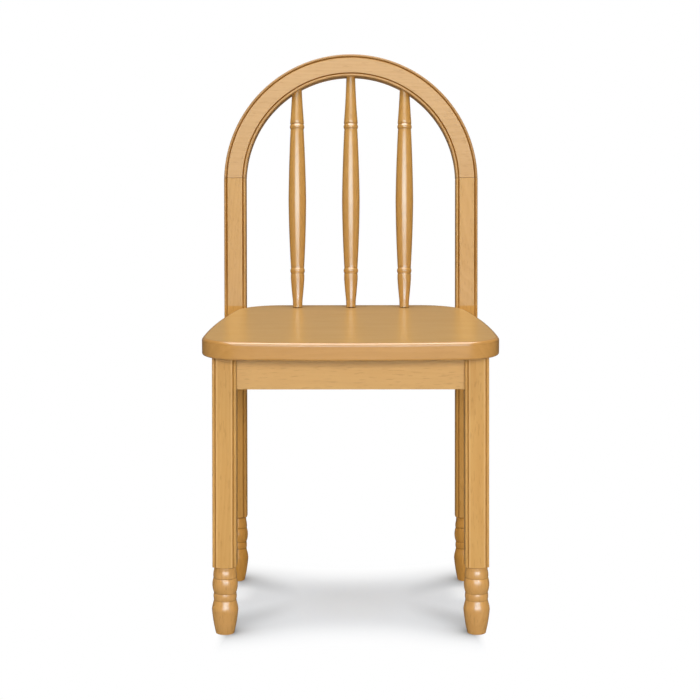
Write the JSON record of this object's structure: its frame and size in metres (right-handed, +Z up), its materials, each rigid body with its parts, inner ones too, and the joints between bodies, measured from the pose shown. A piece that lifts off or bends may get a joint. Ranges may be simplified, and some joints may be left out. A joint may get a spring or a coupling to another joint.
{
  "type": "chair",
  "caption": "Wooden side chair with a flat seat, turned feet, beaded square legs and a round arched back filled with turned spindles.",
  "frame": {"origin": "on the floor, under the middle of the chair's overall box", "axes": "+Z up, -Y towards the front of the chair, +X towards the right as seen from in front"},
  "size_m": [0.4412, 0.4903, 0.8727],
  "materials": {
    "seat_wood": "clear honey lacquer, satin",
    "frame_wood": "clear honey lacquer, satin",
    "spindle_wood": "clear honey lacquer, semi-gloss",
    "block_wood": "sawn, thin lacquer",
    "dowel_wood": "bare",
    "screw_steel": "zinc plated"
  },
  "bodies": {
    "root": {"seat": "seat_wood", "arch": "frame_wood", "front_leg_left": "frame_wood", "front_leg_right": "frame_wood", "rear_post_left": "frame_wood", "rear_post_right": "frame_wood", "front_apron": "frame_wood", "rear_apron": "frame_wood", "side_apron_left": "frame_wood", "side_apron_right": "frame_wood", "spindle_left": "spindle_wood", "spindle_centre": "spindle_wood", "spindle_right": "spindle_wood", "corner_block_front_left": "block_wood", "corner_block_front_right": "block_wood", "corner_block_rear_left": "block_wood", "corner_block_rear_right": "block_wood", "dowel_front_apron_left_lower": "dowel_wood", "dowel_front_apron_left_upper": "dowel_wood", "dowel_front_apron_right_lower": "dowel_wood", "dowel_front_apron_right_upper": "dowel_wood", "dowel_rear_apron_left_lower": "dowel_wood", "dowel_rear_apron_left_upper": "dowel_wood", "dowel_rear_apron_right_lower": "dowel_wood", "dowel_rear_apron_right_upper": "dowel_wood", "dowel_side_apron_left_front_lower": "dowel_wood", "dowel_side_apron_left_front_upper": "dowel_wood", "dowel_side_apron_left_rear_lower": "dowel_wood", "dowel_side_apron_left_rear_upper": "dowel_wood", "dowel_side_apron_right_front_lower": "dowel_wood", "dowel_side_apron_right_front_upper": "dowel_wood", "dowel_side_apron_right_rear_lower": "dowel_wood", "dowel_side_apron_right_rear_upper": "dowel_wood", "dowel_arch_left_front": "dowel_wood", "dowel_arch_left_rear": "dowel_wood", "dowel_arch_right_front": "dowel_wood", "dowel_arch_right_rear": "dowel_wood", "screw_front_left_cross": "screw_steel", "screw_front_left_side": "screw_steel", "screw_front_left_seat": "screw_steel", "screw_front_right_cross": "screw_steel", "screw_front_right_side": "screw_steel", "screw_front_right_seat": "screw_steel", "screw_rear_left_cross": "screw_steel", "screw_rear_left_side": "screw_steel", "screw_rear_left_seat": "screw_steel", "screw_rear_right_cross": "screw_steel", "screw_rear_right_side": "screw_steel", "screw_rear_right_seat": "screw_steel"}
  },
  "joints": []
}
